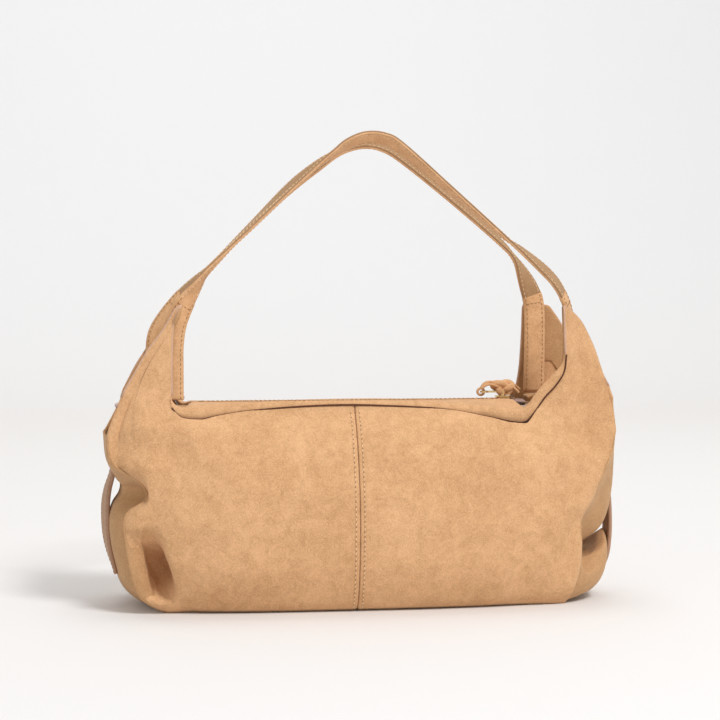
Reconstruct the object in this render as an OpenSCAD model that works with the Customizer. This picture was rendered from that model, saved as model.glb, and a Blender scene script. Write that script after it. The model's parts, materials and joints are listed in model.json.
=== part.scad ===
// Slouchy suede shoulder bag: shell, lining, zipped mouth, cinched ends and two straps.
// -Y is the front, +Z is up, and the origin is the middle of the base.

/* [Body] */
// Length of the suede body over its two ends
body_l = 404; // [336:1:490]
// Depth from front to back at the belly
body_d = 150; // [120:1:182]
// Height of the rim of the mouth
rim_h = 165; // [136:1:200]
// Distance between the front rim and the back rim
rim_d = 80; // [70:1:100]
// How far the rim sags beside the ears
rim_dip = 7; // [2:1:12]
// Set-in of the mouth's corner from the end of the body
mouth_in = 64; // [56:1:80]
// Thickness of the suede
suede_t = 2; // [1.4:0.1:2.4]

/* [Cinched ends] */
// Depth of the fold pressed into each end
fold_depth = 36; // [20:1:44]
// Height of the fold's middle above the floor
fold_z = 72; // [60:1:84]
// Half height of the fold
fold_w = 19; // [14:1:24]
// Width of the band that bridges the fold
band_w = 22; // [12:1:36]
// Thickness of that band
band_t = 3; // [2:0.1:4]

/* [Ears] */
// Rise of the ear's tip over the rim
ear_rise = 81; // [64:1:98]
// Set-in of the middle of the ear's tip from the end of the body
ear_in = 50; // [44:1:58]
// Drop of the ear's outer foot below the rim
shoulder_drop = 27; // [18:1:34]
// Thickness of the facing inside each ear
ear_facing_t = 1.2; // [0.8:0.1:1.6]

/* [Straps] */
// Width of a strap
strap_w = 17; // [14:1:21]
// Thickness of a strap, two layers together
strap_t = 3; // [2:0.1:4]
// Height of the straps' top over the rim
strap_drop = 218; // [180:1:262]

/* [Zip] */
// Width of the opening between the two rim facings
zip_gap = 19; // [15:1:24]
// Thickness of a rim facing
facing_t = 1.6; // [1.2:0.1:2]
// Distance from one tooth to the next on a side
tooth_pitch = 3.5; // [3:0.1:4.5]
// Length of the slider
slider_l = 12; // [10:1:15]
// Width of the slider
slider_w = 9; // [8:0.5:11]
// Length of the metal pull tab
tab_l = 17; // [14:1:22]
// Length of the knotted suede pull
knot_l = 28; // [22:1:34]

/* [Lining] */
// Thickness of the lining cloth
lining_t = 1; // [0.8:0.1:1.4]
// Play between the shell and the lining
lining_gap = 2; // [1.5:0.1:3]
// Thickness of the base board
board_t = 2; // [1.5:0.1:3]
// Width of the inside pocket
pocket_w = 130; // [90:1:160]

/* [Hidden] */

suede = "#d9a066";
suede_dark = "#b9824c";
cloth = "#cdb3a0";
tape_colour = "#a08078";
gold = "#d9b45a";

gap = 0.4;                                // between neighbouring pieces of the shell
half_l = body_l / 2;
half_d = body_d / 2;
tip_z = rim_h + ear_rise;
tip_x = half_l - ear_in;
tip_in = tip_x - strap_w / 2;
tip_out = tip_x + strap_w / 2;
mouth_x = half_l - mouth_in;
shoulder_z = rim_h - shoulder_drop;
shoulder_x = half_l - 2;
plan_power = 3.5;                         // squareness of the body seen from above
edge_share = 0.95;                        // where a panel ends, as a share of the half length
base_share = 0.80;                        // length of the base against the length of the body
base_round = 60;                          // height over which the ends round into the base
seam_tuck = 0.86;                         // narrowing of the body at the seams of its ends

// Half depth of the shell against height, as shares of the rim's height and the belly's depth.
side_curve = [[0, 0.74], [0.06, 0.84], [0.15, 0.92], [0.28, 0.98], [0.4, 1], [0.55, 0.98],
    [0.7, 0.90], [0.85, 0.74], [1, rim_d / body_d]];

// Top edge of a panel from the middle seam to the end: share along the panel, x and z.
top_edge = [[0, 0, rim_h], [0.45, mouth_x * 0.72, rim_h], [0.58, mouth_x - 14, rim_h - rim_dip],
    [0.67, mouth_x, rim_h + 4], [0.73, mouth_x + 4, rim_h + ear_rise * 0.32],
    [0.79, tip_in, tip_z], [0.87, tip_out, tip_z - 4],
    [0.94, (tip_out + shoulder_x) / 2, (tip_z + shoulder_z) / 2], [1, shoulder_x, shoulder_z]];
top_x = [for (p = top_edge) [p[0], p[1]]];
top_z = [for (p = top_edge) [p[0], p[2]]];

// Where the same columns lie across the belly, as shares of the half length.
belly_x = [[0, 0], [0.45, 0.47], [0.58, 0.60], [0.67, 0.69], [0.73, 0.76], [0.79, 0.82],
    [0.87, 0.88], [0.94, 0.92], [1, edge_share]];
columns = [0, 0.12, 0.24, 0.35, 0.45, 0.52, 0.58, 0.63, 0.67, 0.70, 0.73, 0.76, 0.79, 0.83, 0.87,
    0.905, 0.94, 0.97, 1];
panel_rows = 16;

function smooth(a, b, v) = let (t = min(max((v - a) / (b - a), 0), 1)) t * t * (3 - 2 * t);
function mix(a, b, w) = a * (1 - w) + b * w;
function side(z) = half_d * lookup(z / rim_h, side_curve);
function fold(z) = fold_depth * exp(-pow((z - fold_z) / fold_w, 2));
function round_in(z) = (1 - base_share) * pow(1 - min(z / base_round, 1), 2);
function end_x(z) = half_l * (1 - round_in(z));
function plan(f) = pow(1 - pow(f, plan_power), 1 / plan_power);

// A point of the front right panel, at share s along it and share t of its height there.
function panel_point(s, t) =
    let (z = t * lookup(s, top_z), f = lookup(s, belly_x), to_top = smooth(0.5, 1, t),
         upright = smooth(0.5, 1, z / rim_h),
         pinch = fold(z) * smooth(0.5, 0.95, f),
         x = mix(f * end_x(z) - pinch, lookup(s, top_x), to_top),
         y = side(z) * mix(plan(f), mix(1, seam_tuck, smooth(0.94, 1, s)), upright))
    [x, -y, z];

// A skin is a grid of points on the outside of a sheet, and it is thickened inwards.
function at(g, i, j) = g[min(max(i, 0), len(g) - 1)][min(max(j, 0), len(g[0]) - 1)];
function across(g, i, j) = cross(at(g, i, j + 1) - at(g, i, j - 1), at(g, i + 1, j) - at(g, i - 1, j));
function inward(g, i, j) = let (n = across(g, i, j)) -n / norm(n);
function shifted(g, d) =
    [for (i = [0:len(g) - 1]) [for (j = [0:len(g[0]) - 1]) g[i][j] + d * inward(g, i, j)]];

function quad(a, b, c, d) = [[a, b, c], [a, c, d]];

// A closed solid between two grids of the same size. The first grid is the outer one.
module between(outer, inner) {
    rows = len(outer);
    cols = len(outer[0]);
    half = rows * cols;
    last = cols - 1;
    points = [for (g = [outer, inner]) for (row = g) for (p = row) p];
    faces = [
        for (i = [0:rows - 2], j = [0:cols - 2])
            let (a = i * cols + j, b = a + 1, c = b + cols, d = a + cols)
            each concat(quad(a, d, c, b), quad(half + a, half + b, half + c, half + d)),
        for (i = [0:rows - 2], left = [true, false])
            let (a = i * cols + (left ? 0 : last), d = a + cols)
            each left ? quad(a, half + a, half + d, d) : quad(a, d, half + d, half + a),
        for (j = [0:cols - 2], low = [true, false])
            let (a = (low ? 0 : (rows - 1) * cols) + j, b = a + 1)
            each low ? quad(a, b, half + b, half + a) : quad(a, half + a, half + b, b)
    ];
    polyhedron(points, faces);
}

module skin(grid, thick, under = 0) {
    between(shifted(grid, under), shifted(grid, under + thick));
}

module mirror_to(left, back) {
    mirror([left ? 1 : 0, 0, 0]) mirror([0, back ? 1 : 0, 0]) children();
}

// ---- shell ----
panel_grid = [for (i = [0:panel_rows]) [for (s = columns)
    let (p = panel_point(s, i / panel_rows)) [max(p[0], gap / 2), p[1], p[2]]]];

module panel(left, back) {
    color(suede) mirror_to(left, back) skin(panel_grid, suede_t);
}

// The gusset joins the front and back panels' end edges, and bulges a little past them.
gusset_rows = 14;
gusset_steps = [-1, -0.75, -0.5, -0.25, 0, 0.25, 0.5, 0.75, 1];

function gusset_point(v, t) =
    let (edge = panel_point(1, t), shut = 1 - (suede_t + gap) / abs(edge[1]),
         bulge = end_x(edge[2]) * (1 - edge_share) * (1 - smooth(0.6, 1, t)) * (1 - v * v))
    [edge[0] + bulge, v * edge[1] * -shut, edge[2]];

function gusset_grid() =
    [for (i = [0:gusset_rows]) [for (v = gusset_steps) gusset_point(v, i / gusset_rows)]];

module end_gusset(left) {
    color(suede_dark) mirror_to(left, false) skin(gusset_grid(), suede_t);
}

// The band runs up the outside of the gusset, shorter than the gusset is, so the end folds.
band_low = 24;
band_high = rim_h * 0.76;
band_bulge = 3;
band_steps = 12;

function band_line(off) = [for (k = [0:band_steps])
    let (u = k / band_steps, z = mix(band_low, band_high, u))
    [end_x(z) + gap + band_bulge * sin(180 * u) + off, z]];

module end_band(left) {
    low = band_line(0);
    high = band_line(band_t);
    color(suede) mirror_to(left, false) rotate([90, 0, 0])
        linear_extrude(height = band_w, center = true)
            polygon(concat(low, [for (k = [band_steps:-1:0]) high[k]]));
}

// The end of the mouth: a dished piece between the two ears, from the zip to the gusset.
end_play = 6;                             // between that piece and the shell
end_below_rim = 6;
end_dish = 5;
end_in_x = mouth_x + 2;
end_out_x = shoulder_x - suede_t - end_play;
end_half_w = rim_d / 2 - suede_t - ear_facing_t - end_play + 0.5;

function mouth_end_point(u, v) =
    [mix(end_in_x, end_out_x, u), v * end_half_w,
     mix(rim_h - end_below_rim, shoulder_z + 2, smooth(0, 1, u)) - end_dish * (1 - v * v) * u];

module mouth_end(left) {
    grid = [for (v = [-1:0.5:1]) [for (u = [0:0.2:1]) mouth_end_point(u, v)]];
    color(suede_dark) mirror_to(left, false) skin(grid, suede_t);
}

// ---- base ----
outline_steps = 60;
function outline(lx, ly) =
    [for (k = [0:outline_steps - 1]) let (a = 360 * k / outline_steps, p = 2 / plan_power)
        [lx * sign(cos(a)) * pow(abs(cos(a)), p), ly * sign(sin(a)) * pow(abs(sin(a)), p)]];

base_in = suede_t + 1;
board_inset = 8;
lining_inset = 4;
base_x = end_x(0) - base_in - 2;
base_y = side(0) - base_in;
board_z = suede_t + gap;
floor_z = board_z + board_t + gap;

module plate(inset, z, thick) {
    translate([0, 0, z]) linear_extrude(height = thick)
        polygon(outline(base_x - inset, base_y - inset));
}

module base_panel() { color(suede_dark) plate(0, 0, suede_t); }
module base_board() { color("dimgray") plate(board_inset, board_z, board_t); }
module lining_base() { color(cloth) plate(lining_inset, floor_z, lining_t); }

// ---- ears and straps ----
facing_under = suede_t + 0.3;
anchor_under = facing_under + ear_facing_t + 0.3;
facing_from_row = 12;
facing_from_column = 11;
function corner_of(g) = [for (i = [facing_from_row:len(g) - 1])
    [for (j = [facing_from_column:len(g[0]) - 2]) g[i][j]]];

module ear_facing(left, back) {
    color(suede_dark) mirror_to(left, back)
        between(corner_of(shifted(panel_grid, facing_under)),
            corner_of(shifted(panel_grid, facing_under + ear_facing_t)));
}

strap_y = rim_d / 2 - anchor_under - strap_t / 2 - 1;
anchor_low = rim_h + 5;
swing_rise = 4.5;                         // height of a strap's fold line over the ear's tip
nose_gap = 0.35;                          // between the strap's rounded end and its anchor
strap_low = tip_z + swing_rise;
anchor_high = strap_low - strap_t / 2 - nose_gap;

module strap_anchor(left, back) {
    color(suede) mirror_to(left, back)
        translate([tip_x - strap_w / 2, -strap_y - strap_t / 2, anchor_low])
            cube([strap_w, strap_t, anchor_high - anchor_low]);
}

// A strap is an arch whose ribbon turns from facing the ear to lying flat on the shoulder.
strap_apart = 1.5;                        // from the middle plane to a strap's edge at the top
arch_pull = 42;                           // how far the arch keeps its first and last direction
top_y = strap_w / 2 + strap_apart;
strap_top = rim_h + strap_drop;
arch_top = strap_top - strap_t / 2 - 0.5;
arch = [[tip_x, strap_low], [tip_x, strap_low + arch_pull], [arch_pull, arch_top], [0, arch_top]];
strap_steps = 18;
turn_share = 0.6;

function bezier(p, u) = pow(1 - u, 3) * p[0] + 3 * pow(1 - u, 2) * u * p[1]
    + 3 * (1 - u) * u * u * p[2] + pow(u, 3) * p[3];
function arch_mid(u) = let (p = bezier(arch, u)) [p[0], -mix(strap_y, top_y, smooth(0, 0.9, u)), p[1]];
function arch_tangent(u) = u == 0 ? [0, 0, 1]
    : let (d = arch_mid(min(u + 0.01, 1)) - arch_mid(u - 0.01)) d / norm(d);
function arch_across(u) =
    let (t = arch_tangent(u), turn = 90 * smooth(0, turn_share, u), flat = [t[2], 0, -t[0]],
         w = flat * cos(turn) + [0, sin(turn), 0], n = w - (w * t) * t)
    n / norm(n);

// Corners of the ribbon's section, for a layer that lies from depth a to depth b.
function arch_section(u, a, b) =
    let (m = arch_mid(u), w = arch_across(u) * strap_w / 2, n = cross(arch_tangent(u), arch_across(u)))
    [m - w + a * n, m + w + a * n, m + w + b * n, m - w + b * n];
function other_side(q) = [for (p = q) [-p[0], p[1], p[2]]];

module ribbon(a, b) {
    right = [for (k = [0:strap_steps]) arch_section(k / strap_steps, a, b)];
    left = [for (k = [strap_steps - 1:-1:0]) other_side(arch_section(k / strap_steps, a, b))];
    rings = concat(right, left);
    n = len(rings);
    points = [for (r = rings) for (p = r) p];
    sides = [for (i = [0:n - 2], k = [0:3])
        let (m = (k + 1) % 4, p = 4 * i + k, q = 4 * i + m)
            each k == 2 ? quad(q, q + 4, p + 4, p) : quad(p, q, q + 4, p + 4)];
    end = 4 * n;
    polyhedron(points, concat(sides, quad(3, 2, 1, 0), quad(end - 4, end - 3, end - 2, end - 1)));
}

layer_gap = 0.05;
module strap_outer(back) {
    color(suede) mirror_to(false, back) ribbon(-strap_t / 2, -layer_gap);
}
module strap_inner(back) {
    color(suede_dark) mirror_to(false, back) ribbon(layer_gap, strap_t / 2);
}

// The feet are rounded about the line that the strap folds on.
module strap_feet(back) {
    color(suede_dark) mirror_to(false, back) for (s = [-1, 1])
        translate([s * tip_x, -strap_y, strap_low - layer_gap]) difference() {
            rotate([0, 90, 0]) cylinder(h = strap_w, r = strap_t / 2, $fn = 48, center = true);
            translate([-strap_w, -strap_t, 0]) cube([2 * strap_w, 2 * strap_t, strap_t]);
        }
}

// ---- mouth and zip ----
facing_top = rim_h - 1;
facing_out = rim_d / 2 - suede_t - 0.5;
facing_in = zip_gap / 2;
facing_x = mouth_x - 3;
tape_z = facing_top - facing_t - gap;     // top of the tape, under the facing
tape_t = 0.6;
tape_lap = 4;
tape_in = 2;
tooth_h = 2;
tooth_z = tape_z - tape_t / 2;
tooth_out = tape_in + 0.4;
tooth_reach = 0.9;                        // how far a tooth crosses the middle line
top_stop_l = 2.5;
top_stop_w = 1.9;
bottom_stop = 4;                          // length and width of the bottom stop

slider_x = mouth_x - 20;
teeth_from = -mouth_x + 14;
teeth_to = slider_x + slider_l / 2 - 4;
tooth_count = floor((teeth_to - teeth_from) / tooth_pitch);
tooth_w = tooth_pitch * 0.4;

rim_drop = [[0, 0], [mouth_x * 0.72, 0], [mouth_x - 14, rim_dip], [mouth_x, rim_dip]];
facing_shares = [-1, -0.9, -0.82, -0.74, -0.5, -0.25, 0, 0.25, 0.5, 0.74, 0.82, 0.9, 1];

// A facing dips with the rim at its outer edge and is level at the zip.
module rim_facing(back) {
    grid = [for (w = [0, 0.35, 0.75, 1]) [for (k = facing_shares)
        [k * facing_x, mix(-facing_out, -facing_in, w),
         facing_top - lookup(abs(k) * facing_x, rim_drop) * pow(1 - w, 2)]]];
    color(suede) mirror_to(false, back) skin(grid, facing_t);
}

module zip_tape(back) {
    color(tape_colour) mirror_to(false, back)
        translate([-facing_x, -facing_in - tape_lap, tape_z - tape_t])
            cube([2 * facing_x, facing_in + tape_lap - tooth_out - gap, tape_t]);
}

// A tooth is a block with a rounded nose that sits between two teeth of the other side.
module tooth() {
    translate([-tooth_w / 2, -tooth_out, -tooth_h / 2])
        cube([tooth_w, tooth_out + tooth_reach - tooth_w / 2, tooth_h]);
    translate([0, tooth_reach - tooth_w / 2, -tooth_h / 2])
        cylinder(h = tooth_h, r = tooth_w / 2, $fn = 24);
}

// The last of each row is the top stop, which keeps the slider on.
module zip_teeth(back) {
    color(gold) mirror_to(false, back) {
        for (k = [0:tooth_count - 1])
            translate([teeth_from + (k + (back ? 0.5 : 0)) * tooth_pitch, 0, tooth_z]) tooth();
        translate([slider_x + slider_l / 2 + 2, -tooth_out, tooth_z - tooth_h / 2])
            cube([top_stop_l, top_stop_w, tooth_h]);
    }
}

plate_t = 1.4;
play = 0.6;
plate_low = tooth_z - tooth_h / 2 - play;
plate_high = tooth_z + tooth_h / 2 + play;
flange_w = 0.8;
bar_x = slider_x - 1;
bar_rise = 3.2;
bar_z = plate_high + plate_t + bar_rise;
bar_r = 0.9;
bar_play = 0.1;
post_l = 2.4;
post_t = 1;
post_y = slider_w / 2 - post_t / 2 - 0.2;
tab_t = 1.4;
tab_w = 5.5;
tab_hole_r = 2.4;
tab_wall = 1;
tab_eye_r = 1.8;
tab_end_x = bar_x - tab_l;
tab_round_x = tab_end_x + tab_w / 2;
wedge_l = 2;
wedge_w = 1.2;
corner_r = 1.5;

module slider_plate(z) {
    translate([slider_x, 0, z]) linear_extrude(height = plate_t) offset(r = corner_r, $fn = 24)
        square([slider_l - 2 * corner_r, slider_w - 2 * corner_r], center = true);
}

module zip_slider() {
    flange_h = (plate_high - plate_low - tape_t) / 2 - 0.3;
    color(gold) {
        slider_plate(plate_low - plate_t);
        slider_plate(plate_high);
        translate([slider_x + slider_l / 2 - wedge_l - 1, -wedge_w / 2, plate_low])
            cube([wedge_l, wedge_w, plate_high - plate_low]);
        for (s = [-1, 1], z = [plate_low, plate_high - flange_h])
            translate([slider_x - slider_l / 2 + 2, s * (slider_w / 2 - flange_w / 2) - flange_w / 2, z])
                cube([slider_l - 4, flange_w, flange_h]);
        for (s = [-1, 1])
            translate([bar_x - post_l / 2, s * post_y - post_t / 2, plate_high + plate_t])
                cube([post_l, post_t, bar_rise + 1.2]);
        translate([bar_x, post_y, bar_z]) rotate([90, 0, 0])
            cylinder(h = 2 * post_y, r = bar_r, $fn = 32);
    }
}

module zip_pull_tab() {
    color(gold) difference() {
        union() {
            translate([tab_round_x, -tab_w / 2, bar_z - tab_t / 2])
                cube([tab_l - tab_w / 2, tab_w, tab_t]);
            translate([tab_round_x, 0, bar_z - tab_t / 2])
                cylinder(h = tab_t, r = tab_w / 2 + tab_wall, $fn = 48);
            translate([bar_x, tab_w / 2, bar_z]) rotate([90, 0, 0])
                cylinder(h = tab_w, r = tab_eye_r, $fn = 48);
        }
        translate([tab_round_x, 0, bar_z - tab_t])
            cylinder(h = 2 * tab_t, r = tab_hole_r, $fn = 48);
        translate([bar_x, tab_w, bar_z]) rotate([90, 0, 0])
            cylinder(h = 2 * tab_w, r = bar_r + bar_play, $fn = 48);
    }
}

// The suede pull: a loop through the tab's hole, then a knot and two tails that lie over the slider.
loop_tube = 1;
loop_r = 2.6;
neck_r = 3.2;
knot_r = 5.6;
tail_w = 3.8;
tail_t = 3;
knot_x = tab_round_x - (tab_w / 2 + tab_wall + tab_hole_r) / 2;
knot_mid_x = knot_x + 2 * knot_r - 0.2;
knot_z = bar_z + knot_r + 3;

module zip_pull_knot() {
    color(suede) {
        translate([knot_x, 0, bar_z]) rotate([90, 0, 0])
            rotate_extrude($fn = 48) translate([loop_r, 0]) circle(r = loop_tube, $fn = 24);
        translate([knot_x + neck_r + 0.8, 0, bar_z + loop_r + 2.5]) sphere(r = neck_r, $fn = 32);
        translate([knot_mid_x, 0, knot_z]) sphere(r = knot_r, $fn = 40);
        for (s = [-1, 1])
            translate([knot_mid_x, s * knot_r / 2 - tail_w / 2, knot_z + 0.6])
                cube([knot_l - 2 * knot_r - 2, tail_w, tail_t]);
    }
}

// Suede tabs close the ends of the zip. The left one reaches out between the ears.
end_tab_half_w = zip_gap / 2 - 1;
end_tab_t = 3;
end_tab_out = half_l - 10;                // how far out the left one reaches
end_tab_l = 14;                           // length of the right one
module zip_end_tab_left() {
    color(suede_dark) translate([-end_tab_out, -end_tab_half_w, facing_top - 1])
        cube([end_tab_out - mouth_x - 4, 2 * end_tab_half_w, end_tab_t]);
}
module zip_end_tab_right() {
    color(suede_dark) translate([mouth_x + 1, -end_tab_half_w, facing_top - 1])
        cube([end_tab_l, 2 * end_tab_half_w, end_tab_t]);
}

module zip_bottom_stop() {
    color(gold) translate([teeth_from - bottom_stop - 3, -bottom_stop / 2, tooth_z - tooth_h / 2 - 0.2])
        cube([bottom_stop, bottom_stop, tooth_h + 0.4]);
}

// ---- lining ----
lining_end_play = 8;                      // more play where the fold is pressed in
lining_x = half_l - fold_depth - suede_t - lining_gap - lining_end_play;
lining_low = floor_z + lining_t + gap;
lining_high = facing_top - facing_t - 5;
lining_power = 4;
lining_rows = 9;
lining_cols = 22;

function lining_side(z) = side(z) - suede_t - lining_gap;
function lining_point(a, z) =
    let (p = 2 / lining_power, lx = mix(lining_x, mouth_x - 5, smooth(0.72, 0.92, z / rim_h)))
    [-lx * sign(cos(a)) * pow(abs(cos(a)), p), -lining_side(z) * pow(sin(a), p), z];
function lining_grid(a0, a1, z0, z1, cols, rows) =
    [for (i = [0:rows]) [for (j = [0:cols]) lining_point(mix(a0, a1, j / cols), mix(z0, z1, i / rows))]];

module lining_half(back) {
    color(cloth) mirror_to(false, back)
        skin(lining_grid(0.6, 179.4, lining_low, lining_high, lining_cols, lining_rows), lining_t);
}

// The slip pocket hangs on the back lining, and a plain patch is sewn on it.
pocket_low = rim_h * 0.36;
pocket_high = rim_h * 0.8;
pocket_angle = acos(pow(pocket_w / 2 / lining_x, lining_power / 2));
pocket_slack = 1.2;                       // between the lining and the pocket
patch_t = 1.2;
patch_angle = 87;                         // where the patch starts, seen round the lining
module on_lining(angle, z0, z1, thick, under, cols, rows) {
    color(cloth) mirror_to(false, true)
        skin(lining_grid(angle, 180 - angle, z0, z1, cols, rows), thick, lining_t + under);
}
module inner_pocket() { on_lining(pocket_angle, pocket_low, pocket_high, lining_t, pocket_slack, 10, 8); }
module plain_patch() {
    on_lining(patch_angle, mix(pocket_low, pocket_high, 0.7), mix(pocket_low, pocket_high, 0.9),
        patch_t, pocket_slack + lining_t + 0.8, 4, 3);
}

panel(true, false);  // front_panel_left
panel(false, false);  // front_panel_right
panel(true, true);  // back_panel_left
panel(false, true);  // back_panel_right
end_gusset(true);  // end_gusset_left
end_gusset(false);  // end_gusset_right
end_band(true);  // end_band_left
end_band(false);  // end_band_right
mouth_end(true);  // mouth_end_left
mouth_end(false);  // mouth_end_right
base_panel();
base_board();
ear_facing(true, false);  // ear_facing_front_left
ear_facing(false, false);  // ear_facing_front_right
ear_facing(true, true);  // ear_facing_back_left
ear_facing(false, true);  // ear_facing_back_right
strap_anchor(true, false);  // strap_anchor_front_left
strap_anchor(false, false);  // strap_anchor_front_right
strap_anchor(true, true);  // strap_anchor_back_left
strap_anchor(false, true);  // strap_anchor_back_right
strap_outer(false);  // strap_front_outer
strap_inner(false);  // strap_front_inner
strap_outer(true);  // strap_back_outer
strap_inner(true);  // strap_back_inner
strap_feet(false);  // strap_feet_front
strap_feet(true);  // strap_feet_back
rim_facing(false);  // rim_facing_front
rim_facing(true);  // rim_facing_back
zip_tape(false);  // zip_tape_front
zip_tape(true);  // zip_tape_back
zip_teeth(false);  // zip_teeth_front
zip_teeth(true);  // zip_teeth_back
zip_slider();
zip_pull_tab();
zip_pull_knot();
zip_end_tab_left();
zip_end_tab_right();
zip_bottom_stop();
lining_half(false);  // lining_front
lining_half(true);  // lining_back
lining_base();
inner_pocket();
plain_patch();
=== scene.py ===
import bpy
import json
import math
import numpy as np
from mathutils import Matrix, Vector

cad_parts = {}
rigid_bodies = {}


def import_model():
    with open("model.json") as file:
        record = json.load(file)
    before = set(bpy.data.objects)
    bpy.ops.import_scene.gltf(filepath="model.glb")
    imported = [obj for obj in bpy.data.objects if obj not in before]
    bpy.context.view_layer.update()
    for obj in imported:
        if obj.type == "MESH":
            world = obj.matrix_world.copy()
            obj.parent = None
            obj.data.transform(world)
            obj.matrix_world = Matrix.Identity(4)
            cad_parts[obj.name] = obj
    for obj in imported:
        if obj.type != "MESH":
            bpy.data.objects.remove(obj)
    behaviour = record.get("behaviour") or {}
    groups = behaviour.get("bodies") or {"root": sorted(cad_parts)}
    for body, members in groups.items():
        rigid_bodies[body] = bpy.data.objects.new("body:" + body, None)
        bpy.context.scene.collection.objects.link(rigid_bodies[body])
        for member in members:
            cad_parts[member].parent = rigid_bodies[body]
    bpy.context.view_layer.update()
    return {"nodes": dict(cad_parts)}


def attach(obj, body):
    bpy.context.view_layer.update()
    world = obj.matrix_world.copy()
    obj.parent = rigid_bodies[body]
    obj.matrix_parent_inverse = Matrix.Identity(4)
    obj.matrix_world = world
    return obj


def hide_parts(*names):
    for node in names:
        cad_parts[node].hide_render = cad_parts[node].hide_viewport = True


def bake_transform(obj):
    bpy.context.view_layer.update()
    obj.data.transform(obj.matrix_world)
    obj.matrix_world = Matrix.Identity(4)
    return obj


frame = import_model()
MM = 0.001  # all sizes below are in millimetres unless they say metres

# ------------------------------------------------------------------ camera
# The photo's viewing angle, from a little to the left and a little above; AIM and DISTANCE in metres.
YAW, LIFT, DISTANCE = math.radians(-8), math.radians(3), 1.62
AIM = Vector((0, 0, 0.1945))


def add_camera():
    cam = bpy.data.objects.new("camera", bpy.data.cameras.new("camera"))
    bpy.context.scene.collection.objects.link(cam)
    cam.data.lens, cam.data.sensor_width = 100, 36
    flat = math.cos(LIFT)
    way = Vector((math.sin(YAW) * flat, -math.cos(YAW) * flat, math.sin(LIFT)))
    cam.location = AIM + way * DISTANCE
    cam.rotation_euler = (-way).to_track_quat("-Z", "Y").to_euler()
    bpy.context.scene.camera = cam


add_camera()


# ------------------------------------------------------------------ small maths
def smooth(a, b, v):
    t = np.clip((np.asarray(v, float) - a) / (b - a), 0, 1)
    return t * t * (3 - 2 * t)


def mix(a, b, w):
    return a * (1 - w) + b * w


def unit(v):
    """v with each of its vectors scaled to length one."""
    return v / np.linalg.norm(v, axis=-1, keepdims=True)


def tangents(p):
    return unit(np.gradient(p, axis=0))


def square_to(across, tangent):
    """across turned to stand square to tangent, with length one."""
    return unit(across - tangent * np.sum(across * tangent, axis=1, keepdims=True))


def run_along(p):
    """Distance of each point from the first, along the line."""
    return np.concatenate([[0], np.cumsum(np.linalg.norm(np.diff(p, axis=0), axis=1))])


def curve(knots, x):
    """A smooth curve without overshoot through knots of (x, value, ...)."""
    k = np.array(knots, float)
    xs, ys = k[:, 0], k[:, 1:]
    h = np.diff(xs)[:, None]
    d = np.diff(ys, axis=0) / h
    m = np.zeros_like(ys)
    m[0], m[-1] = d[0], d[-1]
    if len(xs) > 2:
        same = d[:-1] * d[1:] > 0
        w1, w2 = 2 * h[1:] + h[:-1], h[1:] + 2 * h[:-1]
        with np.errstate(divide="ignore", invalid="ignore"):
            hm = (w1 + w2) / (w1 / d[:-1] + w2 / d[1:])
        m[1:-1] = np.where(same, hm, 0)
    x = np.asarray(x, float)
    i = np.clip(np.searchsorted(xs, x, side="right") - 1, 0, len(xs) - 2)
    t = np.clip((x - xs[i]) / (xs[i + 1] - xs[i]), 0, 1)[..., None]
    hh = h[i]
    out = ((1 + 2 * t) * (1 - t) ** 2 * ys[i] + t * (1 - t) ** 2 * hh * m[i]
           + t * t * (3 - 2 * t) * ys[i + 1] + t * t * (t - 1) * hh * m[i + 1])
    return out[..., 0] if ys.shape[1] == 1 else out


def extended(p):
    """p with one more point carried on past each end."""
    return np.vstack([2 * p[0] - p[1], p, 2 * p[-1] - p[-2]])


def catmull_rom(a, b, c, d, t):
    """The curve from b to c at t from 0 to 1."""
    return 0.5 * (2 * b + (c - a) * t + (2 * a - 5 * b + 4 * c - d) * t ** 2
                  + (3 * b - a - 3 * c + d) * t ** 3)


def spline(points, n):
    """n points along a Catmull-Rom curve, evenly spaced by length."""
    p = np.array(points, float)
    q = extended(p)
    dense = []
    for i in range(1, len(q) - 2):
        a, b, c, d = q[i - 1: i + 3]
        for t in np.linspace(0, 1, 24, endpoint=False):
            dense.append(catmull_rom(a, b, c, d, t))
    dense = np.array(dense + [p[-1]])
    run = run_along(dense)
    at = np.linspace(0, run[-1], n)
    return np.stack([np.interp(at, run, dense[:, k]) for k in range(dense.shape[1])], 1)


FULL_TURN = 6.283
WAVE_PEAK = 3.2  # brings the sum of the waves to about -1 to 1


def noise(p, scale, seed):
    """Smooth pseudo-random waves, -1 to 1, at points p, about one wave per scale."""
    rng = np.random.RandomState(seed)
    total = np.zeros(p.shape[:-1])
    for _ in range(7):
        k = rng.normal(size=3)
        k *= 2 * math.pi / scale * (0.6 + 0.8 * rng.rand()) / np.linalg.norm(k)
        total += np.sin(p @ k + rng.rand() * FULL_TURN)
    return total / WAVE_PEAK


# ------------------------------------------------------------------ meshes
def mesh_object(name, verts, faces):
    mesh = bpy.data.meshes.new(name)
    mesh.from_pydata([tuple(v) for v in np.asarray(verts) * MM], [], [tuple(f) for f in faces])
    mesh.update()
    mesh.polygons.foreach_set("use_smooth", [True] * len(mesh.polygons))
    obj = bpy.data.objects.new(name, mesh)
    bpy.context.scene.collection.objects.link(obj)
    return obj


def grid_quads(rows, cols, first=0, wrap=False):
    last = cols if wrap else cols - 1
    return [(first + i * cols + j, first + i * cols + (j + 1) % cols,
             first + (i + 1) * cols + (j + 1) % cols, first + (i + 1) * cols + j)
            for i in range(rows - 1) for j in range(last)]


def end_caps(rings, sides):
    """The two faces that close a tube of that many rings."""
    return [tuple(range(sides - 1, -1, -1)), tuple((rings - 1) * sides + k for k in range(sides))]


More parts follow.
